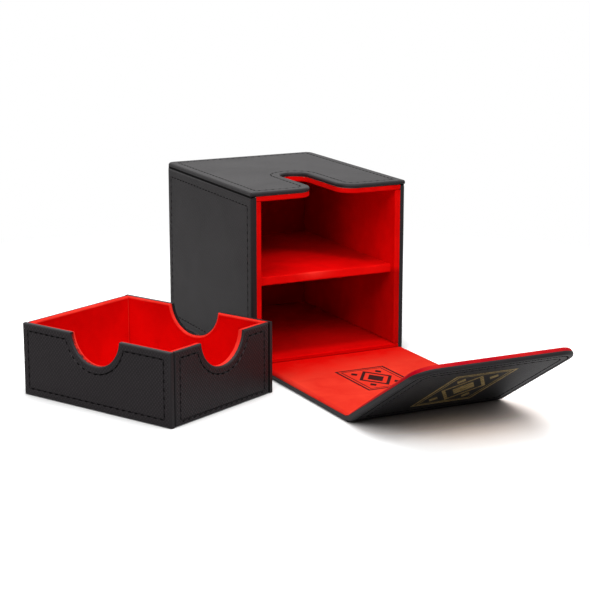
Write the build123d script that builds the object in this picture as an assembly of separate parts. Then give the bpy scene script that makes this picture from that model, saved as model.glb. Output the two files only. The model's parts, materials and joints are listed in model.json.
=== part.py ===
from build123d import *
import os

# Deck case with a two-panel front flap and a loose card tray, in millimetres.
# The origin is the centre of the case's underside, on the table. The open front faces -Y.
# Every panel is a board wrapped in a thin skin: leatherette outside, microfibre inside.

# Skins and edges
skin = 0.6                       # thickness of leatherette and microfibre
cover_edge = 0.7                 # size of the softened edges round a leatherette panel's face
wall_edge = 1.4                  # the same round the case's walls, which are padded
lining_edge = 0.5                # the same round a microfibre panel's face
panel_corner_radius = 1.2        # front corners of the top and bottom panels seen from above
back_corner_radius = 2.6         # back corners of the same panels

# Card tray, sized to take sleeved cards lying flat
card_width = 66.0
card_length = 91.0
card_side_room = 3.1             # finger room beside the cards, each side
card_end_room = 0.5
tray_height = 38.0
tray_lining_drop = 0.4           # the linings stop this far below the walls' upper edges
tray_cover = 1.4                 # leatherette panel of a tray wall
tray_lining = 2.6                # microfibre panel of a tray wall
tray_base_cover = 1.6
tray_floor_lining = 1.6
tray_wall_lift = 0.2             # the walls stop this far above the underside of the base
notch_width = 33.0               # half-round finger cut-outs in three tray walls
notch_depth = 15.0
tray_turn = 26.64                # degrees, the way the tray stands beside the case
tray_place_x = -112.1
tray_place_y = -72.7

# Case
tray_side_room = 0.6             # running room of the tray in a bay, each side
tray_head_room = 2.2
tray_back_room = 11.2
upper_bay_height = 42.4
wall_cover = 2.4                 # leatherette panel of a case wall
wall_lining = 3.0                # microfibre panel of a case wall
plate_cover = 2.0                # leatherette panel of the top and the bottom
plate_lining = 3.2               # microfibre panel of the ceiling and the floor
top_overhang = 0.3               # the top panel stands out past the walls
shelf_thickness = 4.6
shelf_setback = 4.5              # the shelf's front edge lies behind the case's front
slot_width = 17.0                # thumb slot in the top
slot_length = 51.0               # from the case's front
slot_mouth_radius = 9.5

# Flap
flap_side_inset = 1.6            # the flap is this much narrower than the case, each side
flap_cover = 1.9                 # leatherette panel of the flap
flap_lining = 2.2
lining_inset = 0.3               # the flap's lining stops short of the panel's edges
strip_cover = 0.8                # leatherette strip that bends at each hinge
strip_lining = 0.6               # microfibre on the inside of that strip
hinge_clearance = 0.3
front_gap = 0.9                  # between the closed flap and the case's front
top_gap = 0.5                    # between the closed flap and the case's top
top_flap_reach = 80.0            # from the fold to the free edge
free_corner_radius = 11.0
fold_angle = 31.5                # degrees, the way the top flap stands up from the table

# Magnets that hold the closed flap
magnet_diameter = 10.0
magnet_thickness = 1.2
magnet_edge_distance = 14.0      # from the flap's free edge to the magnets' centres
magnet_side_distance = 16.2      # from the flap's side edges to the magnets' centres

# Sizes that follow from the ones above
tray_wall = tray_cover + tray_lining
tray_inner_width = card_width + 2 * card_side_room
tray_inner_length = card_length + 2 * card_end_room
tray_width = tray_inner_width + 2 * tray_wall
tray_length = tray_inner_length + 2 * tray_wall
tray_wall_height = tray_height - tray_wall_lift
notch_radius = (notch_width**2 / 4 + notch_depth**2) / (2 * notch_depth)

bay_width = tray_width + 2 * tray_side_room
bay_depth = tray_length + tray_back_room
case_wall = wall_cover + wall_lining
case_width = bay_width + 2 * case_wall
case_depth = bay_depth + case_wall
shell_width = case_width - 2 * wall_cover
shell_depth = case_depth - wall_cover
front_y = -case_depth / 2
shell_middle_y = front_y + shell_depth / 2
floor_z = plate_cover + plate_lining
shelf_z = floor_z + tray_height + tray_head_room
ceiling_z = shelf_z + shelf_thickness + upper_bay_height
lining_height = ceiling_z - floor_z
plate_top_z = ceiling_z + plate_lining
case_height = plate_top_z + plate_cover
wall_height = plate_top_z - plate_cover

flap_width = case_width - 2 * flap_side_inset
flap_thickness = flap_cover + flap_lining
strip_thickness = strip_cover + strip_lining
axis_z = strip_thickness / 2
hinge_reach = axis_z + hinge_clearance
base_axis_y = front_y - front_gap - flap_thickness + axis_z
fold_distance = case_height + top_gap + flap_thickness - 2 * axis_z
fold_axis_y = base_axis_y - fold_distance
front_flap_end = case_height + top_gap - hinge_clearance - axis_z
magnet_reach = top_flap_reach - magnet_edge_distance
magnet_spacing = flap_width - 2 * magnet_side_distance

# Directions that a panel's visible face can look in, each with the way across it
LEFT = ((0, -1, 0), (-1, 0, 0))
RIGHT = ((0, 1, 0), (1, 0, 0))
FRONT = ((1, 0, 0), (0, -1, 0))
BACK = ((-1, 0, 0), (0, 1, 0))
UP = ((1, 0, 0), (0, 0, 1))
DOWN = ((1, 0, 0), (0, 0, -1))


def seat(shape, back_centre, facing):
    """Puts a panel built on the XY plane with the centre of its back at a point, facing one way."""
    across, normal = facing
    return Plane(origin=back_centre, x_dir=across, z_dir=normal) * shape


def soft_face(outline, thickness, edge):
    """A plate with softened upper edges: round on a straight outline, a chamfer along a curved one."""
    plate = extrude(outline, thickness)
    rim = plate.faces().sort_by(Axis.Z)[-1].edges()
    if rim.filter_by(GeomType.CIRCLE):
        return chamfer(rim, edge)
    return fillet(rim, edge)


def wrapped_panel(outline, thickness, edge):
    """A skin over the face and edges of a board: the open back lies on the XY plane."""
    board = extrude(offset(outline, -skin, kind=Kind.INTERSECTION), thickness - skin)
    cover = soft_face(outline, thickness, edge) - board
    return cover, board


def notched(width, height):
    """A wall with a round finger cut-out in the middle of its upper edge."""
    cut = Pos(0, height / 2 + notch_radius - notch_depth) * Circle(notch_radius)
    return Rectangle(width, height) - cut


def lowered(outline, width, height):
    """A tray lining: the wall's own outline, a little less tall."""
    return outline & Pos(0, -tray_lining_drop / 2) * Rectangle(width, height - tray_lining_drop)


def plate_outline(width, depth):
    """A top or bottom panel, its corners at the back rounder than those in front."""
    plate = Rectangle(width, depth)
    plate = fillet(plate.vertices().group_by(Axis.Y)[0], panel_corner_radius)
    return fillet(plate.vertices().group_by(Axis.Y)[-1], back_corner_radius)


def slotted(outline, outline_front):
    """A plate with the thumb slot cut in from its front edge, the slot's mouth rounded."""
    slot_end_y = front_y + slot_length - slot_width / 2
    straight = slot_end_y - outline_front
    slot = Pos(0, outline_front + straight / 2) * Rectangle(slot_width, straight)
    slot += Pos(0, slot_end_y) * Circle(slot_width / 2)
    plate = outline - slot
    mouth = [
        plate.vertices().sort_by_distance((side * slot_width / 2, outline_front))[0]
        for side in (-1, 1)
    ]
    return fillet(mouth, slot_mouth_radius)


def case_shell():
    """The leatherette panels: two walls, a back between them, and a top and a bottom over them all."""
    wall = Rectangle(case_depth, wall_height)
    back = Rectangle(shell_width, wall_height)
    bottom = plate_outline(case_width, case_depth)
    top_width = case_width + 2 * top_overhang
    top_depth = case_depth + 2 * top_overhang
    top = slotted(plate_outline(top_width, top_depth), -top_depth / 2)
    middle_z = plate_cover + wall_height / 2
    places = {
        "left_wall": (wall, wall_cover, wall_edge, (-shell_width / 2, 0, middle_z), LEFT),
        "right_wall": (wall, wall_cover, wall_edge, (shell_width / 2, 0, middle_z), RIGHT),
        "back_wall": (back, wall_cover, wall_edge, (0, front_y + shell_depth, middle_z), BACK),
        "top": (top, plate_cover, cover_edge, (0, 0, plate_top_z), UP),
        "bottom": (bottom, plate_cover, cover_edge, (0, 0, plate_cover), DOWN),
    }
    pieces = {}
    for name, (outline, thickness, edge, place, facing) in places.items():
        cover, board = wrapped_panel(outline, thickness, edge)
        pieces[name + "_cover"] = seat(cover, place, facing)
        pieces[name + "_board"] = seat(board, place, facing)
    return pieces


def case_lining():
    """The microfibre panels inside: floor and ceiling from wall to wall, the rest between them."""
    floor = Rectangle(shell_width, shell_depth)
    ceiling = slotted(Pos(0, shell_middle_y) * floor, front_y)
    side = Rectangle(shell_depth, lining_height)
    back = Rectangle(bay_width, lining_height)
    middle_z = floor_z + lining_height / 2
    places = {
        "floor_lining": (floor, plate_lining, (0, shell_middle_y, plate_cover), UP),
        "left_lining": (side, wall_lining, (-shell_width / 2, shell_middle_y, middle_z), RIGHT),
        "right_lining": (side, wall_lining, (shell_width / 2, shell_middle_y, middle_z), LEFT),
        "back_lining": (back, wall_lining, (0, front_y + shell_depth, middle_z), FRONT),
    }
    pieces = {}
    for name, (outline, thickness, place, facing) in places.items():
        cover, board = wrapped_panel(outline, thickness, lining_edge)
        pieces[name] = seat(cover, place, facing)
        pieces[name + "_board"] = seat(board, place, facing)
    # The ceiling hangs face down: it is built face up and turned over about the X axis
    cover, board = wrapped_panel(ceiling, plate_lining, lining_edge)
    for name, piece in (("ceiling_lining", cover), ("ceiling_lining_board", board)):
        pieces[name] = Pos(0, 0, plate_top_z) * mirror(piece, Plane.XY)
    return pieces


def shelf():
    """A board with microfibre round its front edge and over both faces, glued between the linings."""
    depth = bay_depth - shelf_setback
    cover = Box(bay_width, depth, shelf_thickness)
    front_edges = cover.edges().filter_by(Axis.X).group_by(Axis.Y)[0]
    cover = fillet(front_edges, lining_edge)
    board = Pos(0, skin / 2, 0) * Box(bay_width, depth - skin, shelf_thickness - 2 * skin)
    place = Pos(0, front_y + shelf_setback + depth / 2, shelf_z + shelf_thickness / 2)
    return {"shelf_lining": place * (cover - board), "shelf_board": place * board}


def hinge_strip(name, axis_y, length):
    """A lined leatherette strip on the table, ending in a round crease on a hinge axis."""
    middle = Pos(axis_y + length / 2, axis_z) * Rectangle(length, strip_thickness)
    profile = middle + Pos(axis_y, axis_z) * Circle(axis_z)
    strip = extrude(Plane.YZ * profile, flap_width / 2, both=True)
    seam = Plane((0, axis_y, strip_cover))
    return {
        name: split(strip, seam, keep=Keep.BOTTOM),
        name + "_lining": split(strip, seam, keep=Keep.TOP),
    }


def flap_panel(outline, lining_outline):
    """One panel of the flap lying on the table, face down: cover, board and lining."""
    cover, board = wrapped_panel(outline, flap_cover, cover_edge)
    lining = soft_face(lining_outline, flap_lining, lining_edge)
    lift = Pos(0, 0, flap_cover)
    return lift * mirror(cover, Plane.XY), lift * mirror(board, Plane.XY), lift * lining


def front_flap():
    """The panel that closes the front, with the strip that lets the top flap fold."""
    length = front_flap_end - hinge_reach
    outline = Rectangle(flap_width, length)
    inside = Rectangle(flap_width - 2 * lining_inset, length - 2 * lining_inset)
    place = Pos(0, base_axis_y - hinge_reach - length / 2, 0)
    names = ("front_flap_cover", "front_flap_board", "front_flap_lining")
    pieces = {name: place * piece for name, piece in zip(names, flap_panel(outline, inside))}
    pieces.update(hinge_strip("fold_strip", fold_axis_y, fold_distance - front_flap_end))
    return pieces


def free_end_outline(width, length, radius):
    """A panel whose two free corners are round, with its hinge edge on the X axis, reaching to -Y."""
    plate = Pos(0, -length / 2) * Rectangle(width, length)
    return fillet(plate.vertices().group_by(Axis.Y)[0], radius)


def magnet_pair(place_y, bottom_z):
    """Two discs beside each other, left first."""
    disc = extrude(Circle(magnet_diameter / 2), magnet_thickness)
    return [Pos(side * magnet_spacing / 2, place_y, bottom_z) * disc for side in (-1, 1)]


def top_flap():
    """The panel that folds over the top, standing up from the table about the fold."""
    length = top_flap_reach - hinge_reach
    outline = free_end_outline(flap_width, length, free_corner_radius)
    inside = free_end_outline(
        flap_width - 2 * lining_inset, length - 2 * lining_inset, free_corner_radius - lining_inset
    )
    cover, board, lining = flap_panel(outline, Pos(0, -lining_inset) * inside)
    place = Pos(0, fold_axis_y - hinge_reach, 0)
    magnets = magnet_pair(hinge_reach - magnet_reach, flap_cover - magnet_thickness)
    for magnet in magnets:
        board -= magnet
    flat = {"top_flap_cover": cover, "top_flap_board": board, "top_flap_lining": lining}
    flat["flap_magnet_left"], flat["flap_magnet_right"] = magnets
    fold = Axis((0, fold_axis_y, axis_z), (-1, 0, 0))
    return {name: (place * piece).rotate(fold, fold_angle) for name, piece in flat.items()}


def tray_walls():
    """Long walls that run the whole length and wrap the ends of the short walls between them."""
    middle_z = tray_wall_lift + tray_wall_height / 2
    pieces = {}
    long_inside = tray_length - 2 * skin
    short_inside = tray_inner_width
    for name, side, facing in (("left", -1, LEFT), ("right", 1, RIGHT)):
        outward, inward = facing, RIGHT if side < 0 else LEFT
        back = (side * (tray_width / 2 - tray_cover), 0, middle_z)
        cover, board = wrapped_panel(notched(tray_length, tray_wall_height), tray_cover, cover_edge)
        for end in (-1, 1):
            turn_in = Box(skin, tray_wall_height, tray_lining)
            cover += Pos(end * (tray_length - skin) / 2, 0, -tray_lining / 2) * turn_in
        inside = lowered(notched(long_inside, tray_wall_height), long_inside, tray_wall_height)
        lining, lining_board = wrapped_panel(inside, tray_lining, lining_edge)
        pieces[f"tray_{name}_cover"] = seat(cover, back, outward)
        pieces[f"tray_{name}_board"] = seat(board, back, outward)
        pieces[f"tray_{name}_lining"] = seat(lining, back, inward)
        pieces[f"tray_{name}_lining_board"] = seat(lining_board, back, inward)
    for name, side, facing in (("front", -1, FRONT), ("rear", 1, BACK)):
        outward, inward = facing, BACK if side < 0 else FRONT
        outline = Rectangle(short_inside, tray_wall_height)
        if name == "front":
            outline = notched(short_inside, tray_wall_height)
        back = (0, side * (tray_length / 2 - tray_cover), middle_z)
        cover, board = wrapped_panel(outline, tray_cover, cover_edge)
        inside = lowered(outline, short_inside, tray_wall_height)
        lining, lining_board = wrapped_panel(inside, tray_lining, lining_edge)
        pieces[f"tray_{name}_cover"] = seat(cover, back, outward)
        pieces[f"tray_{name}_board"] = seat(board, back, outward)
        pieces[f"tray_{name}_lining"] = seat(lining, back, inward)
        pieces[f"tray_{name}_lining_board"] = seat(lining_board, back, inward)
    return pieces


def tray_base():
    """The tray's bottom, between its four walls."""
    outline = Rectangle(tray_inner_width, tray_inner_length)
    cover, board = wrapped_panel(outline, tray_base_cover, cover_edge)
    lining = soft_face(outline, tray_floor_lining, lining_edge)
    place = (0, 0, tray_base_cover)
    return {
        "tray_base_cover": seat(cover, place, DOWN),
        "tray_base_board": seat(board, place, DOWN),
        "tray_floor_lining": seat(lining, place, UP),
    }


def tray():
    """The tray as it stands on the table, turned beside the case."""
    place = Pos(tray_place_x, tray_place_y, 0) * Rot(0, 0, tray_turn)
    return {name: place * piece for name, piece in {**tray_walls(), **tray_base()}.items()}


def case():
    """The case with its shelf, magnets and the strip that the flap hinges on."""
    pieces = {**case_shell(), **case_lining(), **shelf()}
    magnets = magnet_pair(base_axis_y + magnet_reach, plate_top_z)
    for side, magnet in zip(("left", "right"), magnets):
        pieces["top_board"] -= magnet
        pieces[f"case_magnet_{side}"] = magnet
    pieces.update(hinge_strip("base_strip", base_axis_y, front_y - base_axis_y))
    return pieces


os.makedirs("parts", exist_ok=True)
for node, shape in {**case(), **front_flap(), **top_flap(), **tray()}.items():
    export_step(shape, f"parts/{node}.step")
print("case", case_width, case_depth, case_height, "tray", tray_width, tray_length, tray_height)
print("base axis", base_axis_y, axis_z, "fold axis", fold_axis_y, axis_z)
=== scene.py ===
import json
import math

import bmesh
import bpy
from mathutils import Matrix, Vector

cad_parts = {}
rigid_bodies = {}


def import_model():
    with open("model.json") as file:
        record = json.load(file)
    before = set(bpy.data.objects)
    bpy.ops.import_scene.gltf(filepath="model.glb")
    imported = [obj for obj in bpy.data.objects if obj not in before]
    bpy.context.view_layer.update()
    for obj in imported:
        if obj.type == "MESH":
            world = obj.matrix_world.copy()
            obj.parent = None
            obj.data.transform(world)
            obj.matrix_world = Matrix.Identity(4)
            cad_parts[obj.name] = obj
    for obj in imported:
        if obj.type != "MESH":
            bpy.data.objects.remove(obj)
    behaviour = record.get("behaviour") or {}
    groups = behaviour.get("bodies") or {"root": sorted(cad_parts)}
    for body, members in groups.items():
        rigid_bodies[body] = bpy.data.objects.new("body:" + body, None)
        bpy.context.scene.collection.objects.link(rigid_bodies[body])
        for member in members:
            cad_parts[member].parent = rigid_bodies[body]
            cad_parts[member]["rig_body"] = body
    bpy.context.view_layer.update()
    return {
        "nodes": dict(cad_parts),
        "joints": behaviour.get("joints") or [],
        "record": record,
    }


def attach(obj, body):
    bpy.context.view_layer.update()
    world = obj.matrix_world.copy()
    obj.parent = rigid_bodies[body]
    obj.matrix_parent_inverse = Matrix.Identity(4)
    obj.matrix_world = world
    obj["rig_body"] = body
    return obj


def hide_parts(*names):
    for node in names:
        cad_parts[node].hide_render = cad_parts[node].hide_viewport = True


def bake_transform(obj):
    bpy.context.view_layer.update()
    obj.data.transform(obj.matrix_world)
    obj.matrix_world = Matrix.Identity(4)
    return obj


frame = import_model()

# Deck case, its folding flap and its card tray. Lengths are metres, angles are radians.

# Camera, at the photograph's viewing angle
camera_azimuth = math.radians(-26.25)
camera_elevation = math.radians(13.28)
camera_distance = 1.0033
camera_aim = Vector((0.0043, -0.0071, 0.0261))
camera_lens_mm = 106.41
camera_reach = 100

# How the tray stands beside the case
tray_turn = math.radians(26.64)

# Leatherette panels
leather_skin = 0.00055           # the skin seen at a panel's turned-in edges
leather_edge = 0.0008            # rounding round the face of a tray panel
plate_edge = 0.0011              # the same on the case's top and bottom
wall_edge = 0.0016               # the same on the case's covered walls
flap_edge = 0.0014               # the same on the flap
edge_steps = 4
case_seam_inset = 0.0046         # from a panel's edge to its sewn line
tray_seam_inset = 0.0033
tray_end_shift = 0.0006          # further in at the front ends of the tray's long walls
tray_foot_drop = 0.0019          # further out along the foot of the tray's short walls
tray_end_width = 0.0026          # the end of a long wall seen beside a short wall
tray_end_gap = 0.0009            # sunk joint beside the tray's short walls
tray_joint_sink = 0.00055        # how far the near-black strip of painted shade lies back in that joint
tray_lining_rise = 0.0003        # the tray's linings reach this much higher than their boards
wall_swell = 0.0007              # how far the case's covered sides stand out
plate_side_swell = 0.0006        # how far the case's top stands out over its sides
plate_back_swell = 0.0008        # and over its back
ceiling_gap = 0.0004             # dark line between the case's top and the ceiling's lining
wall_top_gap = 0.0009            # sunk joint under the case's top
wall_joint_sink = 0.0005         # how far the near-black strip of painted shade lies back at that joint's ends
wall_joint_stand = 0.0003        # and how far it stands out from the plain wall
flap_seam_inset = 0.0026
second_seam_inset = 0.0030       # from the flap's first sewn line to its second
seam_width = 0.0009
seam_depth = 0.00045
case_seam_share = 0.55           # depth and thread of the case's seams beside the tray's
joint_cover_share = 1.5          # how far a wall's near-black strip of painted shade reaches up, beside the joint under the top
creep_step = 0.0004              # a border is inset in steps no longer than this
creep_closing_share = 0.7        # corners closer than this share of a step are closed up
same_place = 1e-5                # places closer than this count as one
square_share = 0.99              # edges this much in line count as square to a face
facing_share = 0.999             # faces this much turned one way count as facing it
rim_angle = 1.0                  # a face's edge that turns more than this is its rim
smooth_angle = math.radians(42)  # edges that turn more than this stay sharp

# Finger cut-outs of the tray, thumb slot of the case and corners seen from above
notch_width = 0.0330
notch_depth = 0.0150
notch_sides = 64                 # so many that a corner falls on the cut-out's lip
slot_width = 0.0170
slot_length = 0.0510
slot_end_steps = 20
slot_mouth_radius = 0.0102
slot_mouth_steps = 16
plate_front_radius = 0.0012
plate_back_radius = 0.0043
plate_corner_steps = 4
flap_corner_radius = 0.0110
flap_corner_steps = 12
cutter_overrun = 0.0100
shortest_edge = 0.0002           # shorter ones are closed up after a cut

# Sewing thread
stitch_pitch = 0.0041
stitch_length = 0.0022
stitch_thickness = 0.0010
stitch_sides = 6
stitch_straight_share = 0.62     # of a stitch's length, between its dipping ends
stitch_dip_share = 0.19          # of its length, for each of those ends
dip_depth_share = 0.55           # of its thickness
dip_taper_share = 0.6
stitch_smooth_angle = math.radians(60)
stitch_slant = math.radians(6)
stitch_rise = 0.00012            # of the thread's middle over the groove's floor
fine_pitch = 0.0017              # dense row along the flap's edge
seam_corner = math.radians(25)   # a sharper turn than this ends a run of stitches

# Microfibre linings
fibre_skin = 0.00055
fibre_edge = 0.0007
flap_lining_edge = 0.0017        # softer rounding of the flap's lining
fibre_border = 0.0014            # pressed border along a lining's edges
fibre_border_depth = 0.00012
case_edge_tint_share = 0.08           # how strongly the case's lining edges take the pale colour of wear and painted highlight, beside the tray's
front_flap_edge_shade_share = 0.5      # how strongly the front flap's lining edges take their darker crimson, painted shade
top_flap_edge_shade_share = 1.9        # the same for the top flap's
tray_painted_light_share = 0.11            # painted light: the tray's linings are made brighter by this share
# painted light and shade: shares by which a lining's colour is made brighter or darker, painted shade on
# the back lining and painted light on the left and ceiling linings
painted_light_shares = {"back_lining": -0.43, "left_lining": 0.15, "ceiling_lining": 0.20}
bay_rows = 14                    # the painted light and shade inside the bays changes by rows, from their front to their back
# painted light and shade in the bays, mostly brighter at the front and darker further back: the shares at
# the front and at the back, where the change lies and how wide it is
shelf_painted_light = {"light_shares": (0.24, -0.52), "place": 0.006, "width": 0.022}
right_shelf_painted_light = {"light_shares": (0.24, -0.22), "place": 0.006, "width": 0.022}
upper_painted_light = {"light_shares": (0.22, -0.22), "place": 0.004, "width": 0.030}
lower_painted_light = {"light_shares": (-0.25, 0.15), "place": -0.022, "width": 0.024}
floor_painted_light = {"light_shares": (0.15, -0.25), "place": -0.046, "width": 0.012}
floor_back_painted_light = {"light_shares": (0.0, 0.22), "place": -0.022, "width": 0.022}
shelf_shade_curve = 48.0           # the painted shade comes forward on the right, by the square of X
shelf_shade_reach = 0.031          # up to here
shelf_shade_turn = 0.020           # from the middle to here the shelf's right takes over from its left
shelf_rub_share = 0.6            # worn patch on the shelf's front edge
shelf_rub_place = -0.0065
shelf_rub_width = 0.0080
fold_rings = 14
base_rings = 22
base_lining_reach = 0.0057       # the base lining runs this far on to the flap
crease_depth = 0.0014
crease_width = 0.0017
crease_place = 0.0012            # in front of the case
crease_painted_shade_share = 0.65        # painted shade: how much darker the lining is made in it
base_thinning_share = 0.6        # how much thinner the base lining gets towards the case
painted_light_start_y = -0.0665           # painted light on the flap's lining grows from here
painted_light_end_y = -0.0920
painted_light_slant = 0.15                # and sooner on the right
painted_light_waver = 0.014               # how far that boundary wanders
shelf_cuts = 30
shelf_wave = 0.00022
shelf_seed = 4

# Hinge strips of leatherette
strip_rings = 10
bend_reach = 0.0011              # the strip bends this far each side of its axis
base_strip_height = 0.0023
flap_side_lip = 0.0006           # the front cover stands this much higher along its sides
flap_lip = 0.0012                # both covers stand this much higher beside the fold
flap_free_lip = 0.0010           # and this much at the free end

# Foil on the flap's outside and print on its lining: a frame round lozenges
foil_half_width = 0.0170
foil_half_length = 0.0250
print_half_width = 0.0145
print_half_length = 0.0190
frame_line = 0.0012
frame_gap = 0.0024
lozenge_line = 0.0017
core_share = 0.50                # of the large lozenge that the solid one in it takes
corner_share = 0.20              # the same for the small ones in the corners
corner_place_share = 0.74        # how far out those lie
ornament_rise = 0.00005

# Colours and finishes
leather_deep = (0.0022, 0.0016, 0.0019)
leather_bright = (0.033, 0.027, 0.030)
leather_worn = (0.016, 0.0154, 0.016, 1)
leather_gloss = 0.245
leather_gloss_tint = (1.0, 0.90, 0.96, 1)
leather_ridges = 215.0
case_relief = 0.18
tray_relief = 0.5
grain_turn = math.radians(43)
fibre_deep = (0.55, 0.0003, 0.0005)
fibre_bright = (0.74, 0.0010, 0.0012)
# pale edge colour: painted highlight on the tray's lining rims, wear on the shelf's front edge
fibre_wear_and_highlight = (0.95, 0.075, 0.05)
fibre_sheen = 0.03
# the flap's lining is a lit copy of the microfibre: painted light makes it brighter and more orange, except
# near the case, where it keeps the less-lit red
flap_fibre_lit_deep = (0.70, 0.020, 0.011)
flap_fibre_lit_bright = (0.82, 0.050, 0.026)
# darker crimson on the flap lining's edges: painted shade on their rounded sides
flap_fibre_edge_shade = (0.40, 0.0, 0.012)
flap_fibre_less_lit = (0.77, 0.0, 0.0)
flap_fibre_sheen = 0.25
sheen_tint = (1.0, 0.20, 0.12, 1)
foil_ridges = 265.0
foil_dull = (0.16, 0.105, 0.035)
foil_bright = (0.60, 0.42, 0.16)
black = (0, 0, 0, 1)
white = (1, 1, 1, 1)

# Stage
floor_size = 12.0
floor_white = (0.43, 0.43, 0.43, 1)
floor_white_in_gloss = (0.66, 0.66, 0.66, 1)
floor_white_seen = (1.37, 1.37, 1.37, 1)
# painted warm light bounced from the flap into its shadow
floor_white_painted_bounce = (1.46, 1.29, 1.20, 1)
painted_bounce_middle = (0.01, -0.174, 0)  # under the flap: painted warm bounce light in its shadow
painted_bounce_reach = 0.06
floor_middle = (-0.05, -0.08, 0)
shadow_reach = 0.26              # beyond this the floor turns to plain white
shadow_fade = 0.16
contact_reach = 0.019            # painted contact shadow close round what stands on the floor
contact_white_share = 0.34       # what is left of the floor's white in the deepest of it
room_light_low = 0.02            # as light, from the level of the table
room_light_high = 0.40           # as light, from overhead
lamps_aim = Vector((-0.02, -0.06, 0.02))
top_light = {"watts": 9.0, "width": 1.1, "depth": 1.1, "place": Vector((0.04, 0.02, 1.25))}
front_light = {"watts": 13.0, "width": 2.2, "depth": 0.7, "place": Vector((-0.25, -0.95, 1.02))}
side_light = {"watts": 4.0, "width": 0.8, "depth": 0.8, "place": Vector((-1.00, -0.62, 0.80))}

joints = {joint["name"]: joint for joint in frame["joints"]}
mounts = {mount["name"]: mount for mount in frame["record"]["mounts"]}
base_point = Vector(joints["base_hinge"]["pos_m"])
fold_point = Vector(joints["top_fold"]["pos_m"])
fold_angle = -math.radians(joints["top_fold"]["range_deg"][0])
tray_place = Vector(mounts["tray_base"]["pos_m"])
to_fold = Matrix.Translation(fold_point)

# Each body's own axes, in which its panels lie square
own_axes = {
    "case": Matrix.Identity(4),
    "front_flap": Matrix.Identity(4),
    "top_flap": to_fold @ Matrix.Rotation(fold_angle, 4, (-1, 0, 0)) @ to_fold.inverted(),
    "tray": Matrix.Translation(tray_place) @ Matrix.Rotation(tray_turn, 4, "Z"),
}

LEFT, RIGHT = Vector((-1, 0, 0)), Vector((1, 0, 0))
FRONT, BACK = Vector((0, -1, 0)), Vector((0, 1, 0))
DOWN, UP = Vector((0, 0, -1)), Vector((0, 0, 1))


# Shader helpers

def put(tree, kind, inputs=None, **options):
    """Adds a node; an input takes a value or another node's socket."""
    made = tree.nodes.new(kind)
    for option, value in options.items():
        setattr(made, option, value)
    for socket, value in (inputs or {}).items():
        if isinstance(value, bpy.types.NodeSocket):
            tree.links.new(value, made.inputs[socket])
        else:
            made.inputs[socket].default_value = value
    return made


def ramp(tree, factor, *stops):
    """A colour ramp through the given places and colours."""
    made = put(tree, "ShaderNodeValToRGB", {"Fac": factor})
    band = made.color_ramp.elements
    while len(band) < len(stops):
        band.new(1)
    for element, (place, colour) in zip(band, stops):
        element.position = place
        element.color = (*colour, 1)
    return made.outputs["Color"]


def fit(tree, value, low, high, from_low=0.0, from_high=1.0):
    """Stretches a value from one range to another."""
    ends = {"Value": value, "From Min": from_low, "From Max": from_high, "To Min": low, "To Max": high}
    return put(tree, "ShaderNodeMapRange", ends).outputs["Result"]


def work(tree, operation, first, second):
    """Works out one value from two."""
    return put(tree, "ShaderNodeMath", {0: first, 1: second}, operation=operation).outputs["Value"]


def weighed(tree, first, first_share, second, second_share):
    """Adds two values, each by its share."""
    parts = [
        work(tree, "MULTIPLY", value, share)
        for value, share in ((first, first_share), (second, second_share))
    ]
    return work(tree, "ADD", *parts)


def mix(tree, share, first, second):
    """Goes from one colour to another by a share."""
    return put(tree, "ShaderNodeMix", {0: share, 6: first, 7: second}, data_type="RGBA").outputs[2]


def scaled(tree, colour, factor):
    """Makes a colour brighter or darker."""
    made = put(tree, "ShaderNodeVectorMath", {0: colour, "Scale": factor}, operation="SCALE")
    return made.outputs["Vector"]


def noise(tree, place, scale, detail):
    """Fine random specks."""
    made = put(tree, "ShaderNodeTexNoise", {"Vector": place, "Scale": scale, "Detail": detail})
    return made.outputs["Fac"]


def noted_value(tree, name):
    """A value noted on the corners of a piece."""
    return put(tree, "ShaderNodeAttribute", attribute_name=name).outputs["Fac"]


def new_group(name, inputs, outputs):
    """A shader group with named sockets."""
    made = bpy.data.node_groups.new(name, "ShaderNodeTree")
    for socket, kind in inputs:
        made.interface.new_socket(socket, in_out="INPUT", socket_type=kind)
    for socket, kind in outputs:
        made.interface.new_socket(socket, in_out="OUTPUT", socket_type=kind)
    return made, made.nodes.new("NodeGroupInput").outputs, made.nodes.new("NodeGroupOutput").inputs


def use_group(tree, group, inputs):
    return put(tree, "ShaderNodeGroup", inputs, node_tree=group).outputs


def new_material(name):
    """A material with its node tree and its shader."""
    made = bpy.data.materials.new(name)
    made.use_nodes = True
    return made, made.node_tree, made.node_tree.nodes["Principled BSDF"]


def feed(tree, shader, links):
    """Links what changes over the surface to the shader."""
    for socket, source in links.items():
        tree.links.new(source, shader.inputs[socket])


def keep(shader, values):
    """Sets what stays the same all over on the shader itself."""
    for socket, value in values.items():
        shader.inputs[socket].default_value = value


def dent(tree, height, strength, distance):
    """Small relief from a height."""
    wanted = {"Height": height, "Strength": strength, "Distance": distance}
    return put(tree, "ShaderNodeBump", wanted).outputs["Normal"]


# Effects that several finishes share

def cross_hatch_grain():
    """Two sets of fine slanting ridges that cross, as pressed into leatherette."""
    group, given, result = new_group(
        "cross_hatch_grain",
        [("Vector", "NodeSocketVector"), ("Ridges", "NodeSocketFloat")],
        [("Height", "NodeSocketFloat")],
    )
    ridges = []
    for turn in (grain_turn, -grain_turn):
        turned = put(group, "ShaderNodeMapping", {"Vector": given["Vector"], "Rotation": (0, 0, turn)})
        settings = {
            "Vector": turned.outputs["Vector"],
            "Scale": given["Ridges"],
            "Distortion": 1.1,
            "Detail": 2.0,
            "Detail Scale": 0.6,
        }
        ridges.append(put(group, "ShaderNodeTexWave", settings).outputs["Fac"])
    crossed = work(group, "MULTIPLY", *ridges)
    group.links.new(crossed, result["Height"])
    return group


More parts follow.
